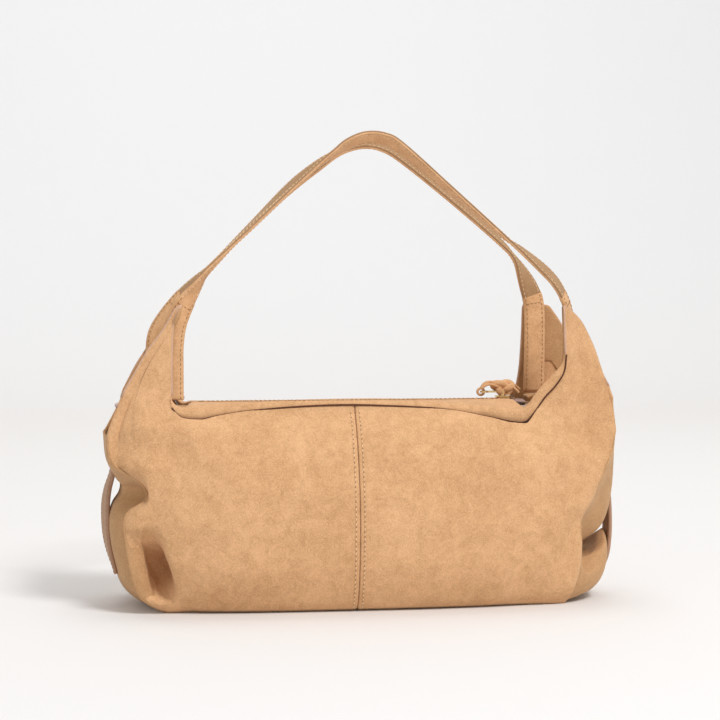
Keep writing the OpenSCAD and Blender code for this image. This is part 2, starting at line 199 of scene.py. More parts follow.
def grid_normals(g):
    """Normals of a grid, leaning on the grid's mean direction where its lines run almost together."""
    du = np.gradient(g, axis=1)
    dv = np.gradient(g, axis=0)
    n = np.cross(du, dv)
    area = np.linalg.norm(n, axis=2, keepdims=True)
    full = np.linalg.norm(du, axis=2, keepdims=True) * np.linalg.norm(dv, axis=2, keepdims=True)
    mean = n.sum((0, 1))
    mean /= max(np.linalg.norm(mean), 1e-9)
    n = n / np.maximum(area, 1e-9) + mean * 2 * smooth(0.35, 0.05, area / np.maximum(full, 1e-9))
    return n / np.maximum(np.linalg.norm(n, axis=2, keepdims=True), 1e-9)


def slab(g, thick, roll):
    """A sheet of the given thickness behind the grid g, with rounded edges. Returns verts, faces."""
    rows, cols = g.shape[:2]
    n = grid_normals(g)
    t = np.broadcast_to(np.asarray(thick, float), (rows, cols))[..., None]
    inner = g - n * t
    verts = [g.reshape(-1, 3), inner.reshape(-1, 3)]
    faces = grid_quads(rows, cols)
    count = rows * cols
    faces += [tuple(count + i for i in reversed(f)) for f in grid_quads(rows, cols)]
    ring = ([(0, j) for j in range(cols)] + [(i, cols - 1) for i in range(1, rows)]
            + [(rows - 1, j) for j in range(cols - 2, -1, -1)]
            + [(i, 0) for i in range(rows - 2, 0, -1)])
    mid = []
    for i, j in ring:
        out = np.zeros(3)
        if i == 0:
            out += g[0, j] - g[1, j]
        if i == rows - 1:
            out += g[-1, j] - g[-2, j]
        if j == 0:
            out += g[i, 0] - g[i, 1]
        if j == cols - 1:
            out += g[i, -1] - g[i, -2]
        out /= max(np.linalg.norm(out), 1e-9)
        mid.append((g[i, j] + inner[i, j]) / 2 + out * t[i, j] * roll)
    verts.append(np.array(mid))
    start, m = 2 * count, len(ring)
    for k in range(m):
        a = ring[k][0] * cols + ring[k][1]
        b = ring[(k + 1) % m][0] * cols + ring[(k + 1) % m][1]
        p, q = start + k, start + (k + 1) % m
        faces += [(b, a, p, q), (q, p, count + a, count + b)]
    return np.vstack(verts), faces


def sheet_object(name, g, thick, roll=0.45):
    return mesh_object(name, *slab(g, thick, roll))


def tube(points, radius, sides=10):
    """A round tube along points, closed at both ends."""
    p = np.asarray(points, float)
    r = np.broadcast_to(np.asarray(radius, float), (len(p),))
    tangent = tangents(p)
    up = np.array([0, 0, 1.0]) if abs(tangent[0, 2]) < 0.9 else np.array([0, 1.0, 0])
    a = np.linspace(0, 2 * math.pi, sides, endpoint=False)
    verts = []
    for i in range(len(p)):
        side = np.cross(tangent[i], up)
        side /= np.linalg.norm(side)
        up = np.cross(side, tangent[i])
        verts.append(p[i] + r[i] * (np.cos(a)[:, None] * side + np.sin(a)[:, None] * up))
    verts = np.array(verts).reshape(-1, 3)
    faces = grid_quads(len(p), sides, wrap=True)
    return verts, faces + end_caps(len(p), sides)


class Gather:
    """Collects many small meshes into one object."""

    def __init__(self):
        self.verts, self.faces, self.count = [], [], 0

    def add(self, verts, faces):
        self.verts.append(np.asarray(verts))
        self.faces += [tuple(self.count + i for i in f) for f in faces]
        self.count += len(verts)

    def make(self, name):
        return mesh_object(name, np.vstack(self.verts), self.faces)


STITCH_SINK = np.array([-0.45, 0.12, 0.24, 0.12, -0.45])[:, None]
STITCH_SWELL = np.array([0.7, 1, 1.05, 1, 0.7])


def stitches(gather, points, normals, length, gap, radius, lift=0.1, phase=0.0):
    """A row of thread stitches lying on a surface along points; phase shifts it by a share of the pitch."""
    p, n = np.asarray(points, float), np.asarray(normals, float)
    run = run_along(p)
    count = max(1, int(run[-1] / (length + gap)))
    pitch = run[-1] / count
    for k in range(count - (1 if phase else 0)):
        at = np.linspace((k + phase) * pitch + gap / 2, (k + 1 + phase) * pitch - gap / 2, 5)
        q = np.stack([np.interp(at, run, p[:, c]) for c in range(3)], 1)
        m = np.stack([np.interp(at, run, n[:, c]) for c in range(3)], 1)
        gather.add(*tube(q + unit(m) * (lift + STITCH_SINK), radius * STITCH_SWELL, sides=6))


# ------------------------------------------------------------------ the shell's form
LENGTH = 202.0  # half the body's length
BELLY = 75.0  # half its depth
SUEDE_T = 1.8
# Share of BELLY at each height.
SIDE = [(0, 0.70), (3, 0.785), (10, 0.85), (25, 0.93), (46, 0.985), (66, 1), (90, 0.975), (115, 0.885),
        (140, 0.73), (158, 0.575), (165, 0.545), (250, 0.51)]
# Share of the half length at the belly at each share of the top edge. The left front panel has its own,
# which keeps its columns apart below its steep ear.
BELLY_X = [(0, 0), (0.45, 0.47), (0.58, 0.60), (0.67, 0.69), (0.73, 0.76), (0.79, 0.82),
           (0.87, 0.88), (0.94, 0.92), (1, 0.95)]
LEFT_X = [(0, 0), (0.45, 0.50), (0.54, 0.62), (0.59, 0.69), (0.625, 0.735), (0.66, 0.768), (0.70, 0.79),
          (0.74, 0.81), (0.775, 0.828), (0.81, 0.846), (0.86, 0.875), (0.9, 0.90), (0.94, 0.92),
          (1, 0.95)]

# Top edge of each panel from the middle seam out: share, x, y, z.
TOP = {
    ("right", "front"): [(0, -9, 41, 161.5), (0.2, 40, 41, 159.2), (0.33, 68, 41, 156.4),
                         (0.44, 98.7, 41, 150.5), (0.52, 115, 41, 147),
                         (0.565, 126.5, 41, 146.2), (0.6, 133, 41, 151.5),
                         (0.65, 143.5, 41, 166), (0.69, 152, 41, 175),
                         (0.73, 159, 41, 186), (0.765, 161, 41, 202),
                         (0.795, 160.5, 40.5, 222), (0.82, 160, 40, 238.7),
                         (0.85, 166, 37, 234.6), (0.885, 174.5, 33, 227),
                         (0.925, 185, 30, 209), (0.96, 194.5, 30.5, 183),
                         (0.985, 202.5, 34, 154), (1, 205, 36, 138)],
    ("left", "front"): [(0, -11, 41, 161.5), (0.2, -53.5, 41, 160.6), (0.38, -97, 41, 157.2),
                        (0.48, -120.4, 41, 153.5), (0.54, -132.1, 41, 151.3),
                        (0.59, -144, 41, 152.2), (0.625, -150, 41, 155.5),
                        (0.66, -154, 40.5, 164), (0.7, -154.2, 40, 185),
                        (0.74, -154, 40, 205), (0.775, -153, 40, 223),
                        (0.81, -147, 40, 240), (0.83, -150, 39.5, 238),
                        (0.86, -160.4, 39, 220.5), (0.9, -171.3, 38.5, 206),
                        (0.94, -182.3, 38, 187.5), (0.975, -195, 37, 163),
                        (0.99, -202, 36.5, 147), (1, -205, 36, 138)],
    ("right", "back"): [(0, -9, 41, 156), (0.2, 36, 41, 156), (0.42, 88, 41, 155), (0.53, 112, 41, 151),
                        (0.61, 128, 40.5, 151), (0.67, 137, 39.5, 166),
                        (0.72, 141, 39, 190), (0.77, 142.5, 38.5, 216),
                        (0.81, 143.5, 38.2, 237.5), (0.85, 163, 38, 237),
                        (0.885, 169, 38, 231), (0.93, 181, 38, 211),
                        (0.97, 193, 37, 175), (0.988, 199, 36, 152),
                        (1, 202, 36, 138)],
    ("left", "back"): [(0, -11, 41, 156), (0.2, -50, 41, 156), (0.42, -98, 41, 155),
                       (0.53, -120, 41, 151), (0.61, -139, 40.5, 151),
                       (0.67, -150, 39.5, 166), (0.72, -153, 39, 190),
                       (0.77, -153, 38.5, 212), (0.81, -152, 38.2, 232),
                       (0.85, -162, 38, 221), (0.885, -169, 38, 206),
                       (0.93, -180, 38, 188.5), (0.97, -192, 37, 163),
                       (0.988, -199, 36, 149), (1, -205, 36, 138)],
}

# The folded ends: outline of the end wall in x and z at shares of its half width.
ENDS = {
    "right": {
        1.0: [(161, 0), (164, 6), (167, 14), (169.5, 24), (171.5, 36), (172, 50), (171.5, 60), (172, 70),
              (180, 83), (190, 104), (199, 121), (204, 138)],
        0.8: [(162, 0), (174, 5), (181, 13), (182, 22), (176, 25), (168, 30), (162, 40), (164, 52),
              (176, 66), (193, 92), (202, 118), (205, 138)],
        0.45: [(166, 0), (184, 5), (195, 15), (200, 30), (199, 43), (192, 41), (180, 33), (160, 42),
               (176, 46), (196, 60), (205, 90), (206, 138)],
        0.0: [(168, 0), (188, 5), (200, 18), (205, 36), (204.5, 52), (199, 52), (186, 37), (152, 42),
              (174, 46), (197, 61), (206, 86), (207, 138)]},
    "left": {
        1.0: [(160, 0), (174, 8), (181.5, 16), (187, 34), (191, 56), (192.5, 72), (188, 82), (177, 89),
              (175, 96), (184, 106), (201, 117), (205, 138)],
        0.9: [(152, 0), (162, 6), (170, 16), (175, 34), (178, 56), (178, 71), (172, 81), (163, 89),
              (166, 96), (181, 103), (202, 116), (205.5, 138)],
        0.7: [(156, 0), (170, 5), (181, 15), (188, 35), (190, 57), (187, 73), (179, 83), (169, 90),
              (172, 97), (187, 102), (203, 116), (206, 138)],
        0.3: [(162, 0), (179, 5), (191, 17), (198, 38), (201.5, 58), (201.5, 73), (198, 83), (193, 90),
              (192, 97), (196, 102), (204, 117), (207, 138)],
        0.0: [(164, 0), (182, 5), (194, 18), (200, 40), (203, 59), (203, 73), (200, 83), (195, 91),
              (194, 98), (198, 103), (205, 118), (207, 138)]},
}
# Share of a panel's length from which its columns are drawn over to the end's outline.
PULL = {"left": 0.66, "right": 0.6}
# Where the control points of ENDS lie along the rows of the wall.
KNOTS = [0, 0.08, 0.15, 0.25, 0.35, 0.43, 0.5, 0.58, 0.66, 0.76, 0.88, 1]

# Hollows pressed into a panel: x, z, half width on the left and on the right of the line, depth.
HOLLOWS = {
    ("left", "front"): [
        [(-180, 68, 12, 8, 0), (-173, 57, 15, 7, 12), (-168, 45, 19, 5, 26), (-163, 30, 21, 4.5, 37),
         (-160, 19, 18, 4, 32), (-159, 14, 13, 4, 16), (-159, 9, 9, 4, 0)],
        [(-204, 134, 10, 10, 1), (-182, 130, 12, 12, 4), (-164, 129, 12, 12, 6), (-150, 131, 12, 12, 4),
         (-138, 135, 12, 12, 0)]],
    ("right", "front"): [
        [(205, 134, 12, 12, 0), (180, 134, 14, 14, 4), (150, 136, 15, 15, 4), (124, 140, 12, 12, 2),
         (100, 146, 12, 12, 0)],
        [(168, 80, 7, 5, 0), (164, 64, 9, 5, 3), (162, 42, 10, 5, 4), (160, 18, 9, 5, 0)],
        [(186, 116, 8, 8, 0), (168, 102, 9, 9, 3), (148, 94, 12, 12, 2), (126, 92, 12, 12, 0)]],
    ("left", "back"): [
        [(-186, 60, 8, 8, 2), (-176, 45, 11, 11, 8), (-168, 26, 11, 11, 8), (-164, 10, 8, 8, 0)],
        [(-206, 128, 13, 13, 2), (-176, 124, 14, 14, 5), (-140, 128, 15, 15, 0)]],
    ("right", "back"): [
        [(205, 128, 13, 13, 0), (176, 126, 14, 14, 5), (140, 132, 15, 15, 0)],
        [(174, 84, 8, 8, 0), (164, 60, 10, 10, 4), (162, 24, 10, 10, 0)]],
}


def hollow_depth(p, lines):
    total = np.zeros(p.shape[:-1])
    for line in lines:
        k = spline(line, 70)
        best = np.full(p.shape[:-1], 1e9)
        depth = np.zeros(p.shape[:-1])
        for i in range(len(k)):
            x, z, left, right, d = k[i]
            off = p[..., 0] - x
            w = np.where(off < 0, left, right)
            far = (off / w) ** 2 + ((p[..., 2] - z) / max(min(left, right), 5.0)) ** 2
            near = far < best
            best = np.where(near, far, best)
            depth = np.where(near, d, depth)
        total += depth * np.exp(-best)
    return total


ROWS, COLS = 110, 120
GUSSET_COLS = 49
# Shares of a panel's length at which its columns lie, closer together at the seam.
SHARES = np.concatenate([[0, 0.0008, 0.004, 0.010], np.linspace(0.018, 1, COLS - 4) ** 0.92])


def through(knots, points, n):
    """n points along a smooth curve that passes each point at its knot."""
    p = np.array(points, float)
    q = extended(p)
    at = np.interp(np.linspace(0, 1, n), knots, np.arange(len(p)))
    i = np.minimum(at.astype(int), len(p) - 2)
    t = (at - i)[:, None]
    return catmull_rom(q[i], q[i + 1], q[i + 2], q[i + 3], t)


def end_outline(side, v, n):
    """Outline of an end at share v of its half width: n points of x and z."""
    keys = sorted(ENDS[side])
    lines = np.array([through(KNOTS, ENDS[side][k], n) for k in keys])
    flat = lines.reshape(len(keys), -1)
    return curve(np.hstack([np.array(keys)[:, None], flat]), np.array([abs(v)]))[0].reshape(n, 2)


def end_y(z):
    """Half width of an end's wall at its seams."""
    return curve([(0, 42), (10, 49), (40, 53), (70, 53), (100, 49), (125, 41), (138, 36)], z)


def panel_grid(side, face):
    """Half of the front or of the back, from the middle seam (first column) to the end's seam."""
    sign = 1 if side == "right" else -1
    q = np.linspace(0, 1, ROWS)
    s = SHARES
    edge = end_outline(side, 1.0, ROWS)
    ex, ez = edge[:, 0] * sign, edge[:, 1]
    ey = end_y(ez)
    top = curve(TOP[side, face], s)
    tx, ty, tz = top[:, 0], top[:, 1], top[:, 2]
    seam = tx[0]
    share = curve(LEFT_X if (side, face) == ("left", "front") else BELLY_X, s)
    t = ez / ez[-1]
    t = mix(q, np.maximum.accumulate(t), 0.35)
    z = t[:, None] * tz[None, :]
    to_top = smooth(0.42, 1, t)[:, None] ** mix(1, 4, smooth(0.6, 0.8, s))[None, :]
    upright = smooth(80, 165, z)
    over_rim = smooth(146, 190, z)
    full = LENGTH * (1 - 0.2 * (1 - np.minimum(z / 52, 1)) ** 2)
    reach = share[None, :] * (full - sign * seam * (1 - share[None, :]))
    x = mix(seam + sign * reach, tx[None, :], to_top)
    depth = BELLY * curve(SIDE, z)
    plan = (1 - np.clip(share[None, :], 0, 1) ** 3.4) ** (1 / 3.4)
    y = mix(depth * mix(plan, 1, upright), ty[None, :], over_rim)
    base = np.stack([x, y, z], 2)
    # the last column meets the end's outline, and the columns near it follow at the same height
    g = base.copy()
    g[..., 2] += smooth(0.78, 1, s)[None, :] * (ez - z[:, -1])[:, None]
    pull = (smooth(PULL[side], 1, s) ** 1.5)[None, :] * (1 - smooth(138, 172, g[..., 2]))
    for axis, goal in ((0, ex), (1, ey)):
        g[..., axis] += pull * np.interp(g[..., 2], ez, goal - base[:, -1, axis])
    g[..., 1] *= -1 if face == "front" else 1
    return g


SEAM_DENT = 0.45
SEAM_DENT_W = 1.2
SEAM_LAP = 0.15


def seam_first(side, face):
    """Whether a panel's first column is at the middle seam once its grid faces outwards."""
    return (side == "right") == (face == "front")


def shell_panel(side, face):
    g = panel_grid(side, face)
    n = grid_normals(g)
    middle = g[ROWS // 2, COLS // 3]
    if n[ROWS // 2, COLS // 3, 1] * middle[1] < 0:
        n = -n
    s = SHARES[None, :]
    q = np.linspace(0, 1, ROWS)[:, None]
    dent = hollow_depth(g, HOLLOWS[side, face])
    soft = noise(g, 95, 3) * 1.1 + noise(g, 42, 5) * 0.35
    soft = soft * smooth(0.02, 0.12, s) * smooth(1.0, 0.93, s) * smooth(0, 0.12, q) * smooth(1, 0.9, q)
    hold = smooth(1.0, 0.955, s) * smooth(0, 0.05, q)
    g = g + n * (soft - dent * hold)[..., None]
    # the middle seam turns in
    run = np.abs(g[..., 0] - g[:, :1, 0])
    g[..., 1] -= np.sign(middle[1]) * SEAM_DENT * np.exp(-(run / SEAM_DENT_W) ** 2)
    g[:, 0, 0] -= SEAM_LAP * (1 if side == "right" else -1)
    # the ears hang smooth
    ear = (smooth(0.78, 0.84, s) * smooth(128, 146, g[..., 2]))[1:-1, 1:-1]
    for _ in range(12):
        y = g[..., 1]
        mean = (y[:-2, 1:-1] + y[2:, 1:-1] + y[1:-1, :-2] + y[1:-1, 2:]) / 4
        g[1:-1, 1:-1, 1] = mix(y[1:-1, 1:-1], mean, ear)
    return g if seam_first(side, face) else g[:, ::-1]


def gusset(side):
    sign = 1 if side == "right" else -1
    v = np.linspace(-1, 1, GUSSET_COLS)
    g = np.zeros((ROWS, GUSSET_COLS, 3))
    for j, k in enumerate(v):
        line = end_outline(side, k, ROWS)
        g[:, j, 0] = line[:, 0] * sign
        g[:, j, 2] = line[:, 1]
    edge = end_outline(side, 1.0, ROWS)
    g[..., 1] = v[None, :] * end_y(edge[:, 1])[:, None]
    return g if side == "right" else g[:, ::-1]


shell = {}
for face in ("front", "back"):
    for side in ("left", "right"):
        name = f"{face}_panel_{side}"
        g = shell_panel(side, face)
        shell[side, face] = g
        o = sheet_object(name + "_skin", g, SUEDE_T)
        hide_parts(name)
        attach(o, "bag")
        o["look"] = "suede"
for side in ("left", "right"):
    o = sheet_object(f"end_gusset_{side}_skin", gusset(side), SUEDE_T)
    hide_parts(f"end_gusset_{side}")
    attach(o, "bag")
    # the end walls take a darker copy of the suede: painted shade
    o["look"] = "suede_back"


# ------------------------------------------------------------------ straps
# Middle line of each strap from its left foot to its right one: x, y, z and how far it is turned.
STRAPS = {
    "front": [(-153, -33.5, 166, 0), (-153, -33.5, 190, 0), (-152.8, -33.5, 208, 0),
              (-150.3, -32.6, 225, 4), (-143.8, -30, 240.4, 27), (-133.5, -30, 255.5, 62),
              (-120.7, -28.5, 272.4, 86), (-91, -24, 299.9, 88), (-58.5, -17, 330.2, 88),
              (-34, -13, 351.9, 84), (-21.8, -11.8, 361, 76), (-11.2, -11.5, 368, 66),
              (2.6, -11, 373, 62), (17.1, -11, 372.3, 63), (30.9, -11.5, 365.3, 68),
              (70.8, -16, 331.6, 82), (110.4, -23, 296.7, 92), (126.2, -26, 284.2, 106),
              (142, -28, 270.6, 118), (154, -28, 258.6, 120), (162, -25.5, 246.5, 118),
              (167, -24, 233.6, 116), (169, -23.5, 215, 115), (169, -23.5, 176, 112)],
    "back": [(-162, 33, 166, 0), (-163, 33, 190, -6), (-163.1, 33, 202, -12), (-161.4, 33, 215.9, -32),
             (-154, 33.5, 230.5, -50), (-141.8, 34, 246, -58), (-129.7, 32, 258.3, -68),
             (-116.7, 30, 271.3, -84), (-86.9, 24, 303, -86), (-54.9, 17, 334, -70),
             (-35, 13, 350, -68), (-18.9, 11.5, 361, -76), (-6.7, 11, 366.4, -76),
             (5.6, 11, 368.6, -74), (17.9, 11, 366.8, -72), (34.4, 11.5, 358.5, -68),
             (76.8, 16, 326.5, -66), (120.4, 24, 290.2, -72), (132.3, 28, 277.8, -74),
             (140.7, 31, 264.5, -48), (147.4, 31.6, 250.2, -16), (150.9, 31.2, 236.8, 0),
             (151.5, 30.6, 208.3, 0), (150.8, 30.6, 166, 0)],
}
STRAP_W, STRAP_T = 16.8, 2.8
# Height below which a strap is sewn down.
FOOT = 243
STITCH_INSET = 2  # from the edge of the strap to its stitches
ANCHOR_GROW = 0.15  # how far a sewn-down end stands proud of the strap
CROSS_ROW_Z = 239  # the row of stitches across a sewn-down end


def strap_frames(which):
    """A strap's middle line, the way across it and the way out of its face."""
    p = spline(STRAPS[which], 340)
    p, turn = p[:, :3], np.radians(p[:, 3])
    tangent = tangents(p)
    flat = np.stack([tangent[:, 2], 0 * turn, -tangent[:, 0]], 1)
    across = flat * np.cos(turn)[:, None] + np.array([0, 1, 0]) * np.sin(turn)[:, None]
    across = square_to(across, tangent)
    return p, across, np.cross(across, tangent)


def ribbon(p, across, out, width, lo, hi, inset=0.3):
    """A flat strip with softly rounded edges from depth lo to hi along out."""
    half = np.broadcast_to(np.asarray(width, float), (len(p),)) / 2
    r = (hi - lo) / 2
    ring = [(-1, inset, -1), (-1, 0, 0), (-1, inset, 1), (-0.5, 0, 1), (0, 0, 1), (0.5, 0, 1),
            (1, inset, 1), (1, 0, 0), (1, inset, -1), (0.5, 0, -1), (0, 0, -1), (-0.5, 0, -1)]
    verts = []
    for a, off, b in ring:
        x = a * (half - off)
        verts.append(p + across * x[:, None] + out * ((lo + hi) / 2 + b * r))
    n = len(ring)
    faces = grid_quads(len(p), n, wrap=True)
    return np.stack(verts, 1).reshape(-1, 3), faces + end_caps(len(p), n)


def build_strap(which):
    p, across, out = strap_frames(which)
    body = f"strap_{which}"
    foot = np.flatnonzero(p[:, 2] > FOOT)
    first, last = foot[0], foot[-1]
    sign = 1 if which == "front" else -1
    half = STRAP_T / 2
    row_off = STRAP_W / 2 - STITCH_INSET
    bits = {"outer": (0.12, half), "inner": (-half, -0.12), "edge": (-0.45, 0.45)}
    on = slice(first, last + 1)
    for part, (lo, hi) in bits.items():
        lo, hi = (lo, hi) if sign > 0 else (-hi, -lo)
        width = STRAP_W - (0.5 if part == "edge" else 0)
        o = mesh_object(f"{body}_{part}_skin", *ribbon(p[on], across[on], out[on], width, lo, hi))
        # the inner face is the same suede coloured darker: painted shade on the strap's underside
        o["look"] = {"outer": "suede", "inner": "suede_under_painted_shade", "edge": "edge"}[part]
        if part != "edge":
            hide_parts(f"{body}_{part}", *([f"strap_feet_{which}"] if part == "outer" else []))
        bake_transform(o)
    thread = Gather()
    for k in (-1, 1):
        for d in (1, -1):
            stitches(thread, (p + across * k * row_off + out * d * half)[on], (out * d)[on],
                     length=2.5, gap=1.2, radius=0.27)
    o = thread.make(body + "_stitches")
    o["look"] = "thread"
    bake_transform(o)
    # the sewn-down ends inside the ears
    face = half + ANCHOR_GROW
    for side, on in (("left", slice(0, first + 3)), ("right", slice(last - 2, len(p)))):
        o = mesh_object(f"strap_anchor_{which}_{side}_skin",
                        *ribbon(p[on], across[on], out[on], STRAP_W + 0.7, -face, face))
        o["look"] = "suede"
        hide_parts(f"strap_anchor_{which}_{side}")
        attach(o, "bag")
        thread = Gather()
        for k in (-1, 1):
            for d in (1, -1):
                stitches(thread, (p + across * k * row_off + out * d * face)[on], (out * d)[on],
                         length=2.5, gap=1.2, radius=0.3)
        row = np.argmin(np.abs(p[on][:, 2] - CROSS_ROW_Z))
        a, b, c = p[on][row], across[on][row], out[on][row]
        for d in (1, -1):
            line = a + b * np.linspace(-1, 1, 9)[:, None] * row_off + c * d * face
            stitches(thread, line, np.tile(c * d, (9, 1)), length=2.2, gap=0.9, radius=0.32)
        o = thread.make(f"strap_anchor_{which}_{side}_stitches")
        o["look"] = "dark_thread_and_hole_shade"
        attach(o, "bag")


build_strap("front")
build_strap("back")


# ------------------------------------------------------------------ ears
EAR_FROM_ROW = int(ROWS * 0.8)
EAR_FROM, EAR_TO = 0.665, 0.975  # shares of the panel's top edge that an ear's facing covers
EAR_FACING_IN, EAR_FACING_T = 1.85, 0.8
for face in ("front", "back"):
    for side in ("left", "right"):
        g = shell[side, face]
        shares = SHARES if seam_first(side, face) else SHARES[::-1]
        found = np.flatnonzero((shares > EAR_FROM) & (shares < EAR_TO))
        cols = slice(found[0], found[-1] + 1)
        n = grid_normals(g)
        part = (g - n * EAR_FACING_IN)[EAR_FROM_ROW:, cols]
        o = sheet_object(f"ear_facing_{face}_{side}_skin", part, EAR_FACING_T)
        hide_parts(f"ear_facing_{face}_{side}")
        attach(o, "bag")
        o["look"] = "suede_back"
        # the light cut edge of the panel, half way through its thickness
        line = (g - n * (SUEDE_T / 2))[-1, cols]
        o = mesh_object(f"ear_edge_{face}_{side}", *tube(line, 0.95, sides=8))
        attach(o, "bag")
        o["look"] = "edge"

# ------------------------------------------------------------------ rim facings
# Outer seam and crest of a facing: x, seam z, crest x, crest z.
RIMS = {
    "front": [(-154, 160.5, -154.5, 167), (-149.5, 155, -150.5, 162.4), (-143.8, 152.2, -144, 161),
              (-132.1, 151.3, -134, 162), (-120.4, 153.5, -120.4, 163),
              (-97, 157.2, -97, 163.7), (-53.5, 160.6, -53.5, 164.8),
              (-11, 161.5, -11, 164.6), (40, 159.2, 40, 163.6), (68, 156.4, 66.5, 162.2),
              (98.7, 150.5, 98, 159.6), (115, 147, 113, 157.3), (126.5, 146.2, 122, 156.5),
              (133, 151.5, 129, 159.5), (143.5, 166, 137, 170), (152, 175, 147, 181),
              (159, 186, 156.5, 191), (161, 200, 160.3, 201)],
    "back": [(-150, 166, -149, 170), (-139, 151, -138, 158), (-120, 151, -120, 157.5),
             (-98, 155, -98, 159), (-50, 156, -50, 159.8), (-10, 156, -10, 160),
             (36, 156, 36, 159.8), (88, 155, 88, 159), (112, 151, 111, 157),
             (128, 151, 125, 158), (137, 166, 134, 170)],
}


def facing_grid(face):
    k = spline(RIMS[face], 150)
    sx, sz, cx, cz = k.T
    inside = smooth(-147, -136, cx) * smooth(131, 121, cx)
    reach = mix(3.5, 30.9, inside)
    rows = []
    for q in (0, 0.35, 0.75, 1):
        bow = 0.8 * math.sin(math.pi * q)
        rows.append(np.stack([mix(sx, cx, q), 42.3 - 1.6 * q * q + 0 * sx, mix(sz, cz, q) + bow * 0.4], 1))
    level = mix(cz - 3.2, 162.7 if face == "front" else 161.5, inside)
    for q in (0.04, 0.12, 0.25, 0.45, 0.65, 0.85, 1):
        rows.append(np.stack([cx, 40.6 - reach * q, mix(cz, level, float(smooth(0, 0.75, q)))
                              + 0.5 * np.sin(cx / 23 + q * 3) * inside * math.sin(math.pi * q)], 1))
    g = np.stack(rows, 0)
    if face == "front":
        g[..., 1] *= -1
        return g
    return g[:, ::-1]


HINGE_Y = 37.5  # the line about which each half of the mouth turns
HINGE_Z = 0.1632  # metres
RIM_FACING_T = 1.5
TAPE_T = 0.55
TAPE_Z = 161.95
TAPE_Y = np.array([13.5, 12.5, 8, 4, 3.0, 2.8])
for face in ("front", "back"):
    step = 1 if face == "front" else -1
    hinge = -HINGE_Y * step
    line = ((0, (hinge - 2 * step) * MM, HINGE_Z), (0, (hinge + 7 * step) * MM, HINGE_Z))
    g = facing_grid(face)
    o = sheet_object(f"rim_facing_{face}_skin", g, RIM_FACING_T)
    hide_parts(f"rim_facing_{face}")
    o["look"] = "suede"
    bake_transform(o)
    thread = Gather()
    middle = np.abs(g[-1, :, 0]) < 128
    inner = g[-1][middle] + np.array([0, -3.0 * step, 0])
    upward = np.tile([0, 0, 1.0], (len(inner), 1))
    stitches(thread, inner, upward, length=2.6, gap=1.2, radius=0.3, lift=0.15)
    o = thread.make(f"rim_facing_{face}_stitches")
    o["look"] = "suede"
    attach(o, f"mouth_{face}")
    # the dark painted edge under the facing
    seam = g[0] + np.array([0, 0.2 * step, -0.2])
    o = mesh_object(f"rim_edge_{face}", *tube(seam, 0.75, sides=8))
    o["look"] = "edge_dark"
    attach(o, "bag")
    # woven tape
    x = np.linspace(-137, 134, 160)
    y = TAPE_Y * -step
    tape = np.stack(np.meshgrid(x, y), 2)
    lift = 0.25 * np.sin(x / 9)[None, :] * np.array([0, 0.4, 1, 0.5, 0, 0])[:, None]
    lift = lift - np.array([1.4, 1.3, 0.6, 0, 0, 0])[:, None]
    tape = np.dstack([tape, TAPE_Z + lift])
    tape = tape if step > 0 else tape[:, ::-1]
    o = sheet_object(f"zip_tape_{face}_skin", tape, TAPE_T)
    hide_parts(f"zip_tape_{face}")
    o["look"] = "tape"
    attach(o, f"mouth_{face}")

# ------------------------------------------------------------------ ends of the mouth
# Middle line of the suede tab at each end of the zip: x, z.
END_TABS = {"left": [(-142.5, 165.4), (-147, 166.8), (-154, 169), (-164, 168), (-176, 165.5),
                     (-188, 163), (-197, 159)],
            "right": [(137, 163.6), (142, 164.6), (148, 164.8), (153, 164)]}
for side in ("left", "right"):
    sign = 1 if side == "right" else -1
    u = np.linspace(0, 1, 26)
    v = np.linspace(-1, 1, 31)
    uu, vv = np.meshgrid(u, v)
    x = sign * mix(137.0, 200.0, uu)
    sag = 7 * (1 - vv ** 2) * uu
    wave = 1.2 * np.sin(vv * 5 + uu * 4) * uu * (1 - uu) * 2
    z = mix(158.5, 138.5, smooth(0, 1, uu)) - sag + wave
    y = vv * mix(35.5, 31.5, uu)
    g = np.stack([x, y, z], 2)
    g = g if side == "right" else g[:, ::-1]
    o = sheet_object(f"mouth_end_{side}_skin", g, 1.6)
    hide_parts(f"mouth_end_{side}")
    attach(o, "bag")
    o["look"] = "suede_back"
    line = spline(END_TABS[side], 40)
    p = np.stack([line[:, 0], 0 * line[:, 0], line[:, 1]], 1)
    across = np.tile([0, 1.0, 0], (len(p), 1))
    out = np.cross(across, tangents(p)) * -sign
    o = mesh_object(f"zip_end_tab_{side}_skin", *ribbon(p, across * -sign, out, 17, -1.3, 1.3, inset=0.5))
    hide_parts(f"zip_end_tab_{side}")
    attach(o, "bag")
    o["look"] = "lilac" if side == "left" else "suede_back"

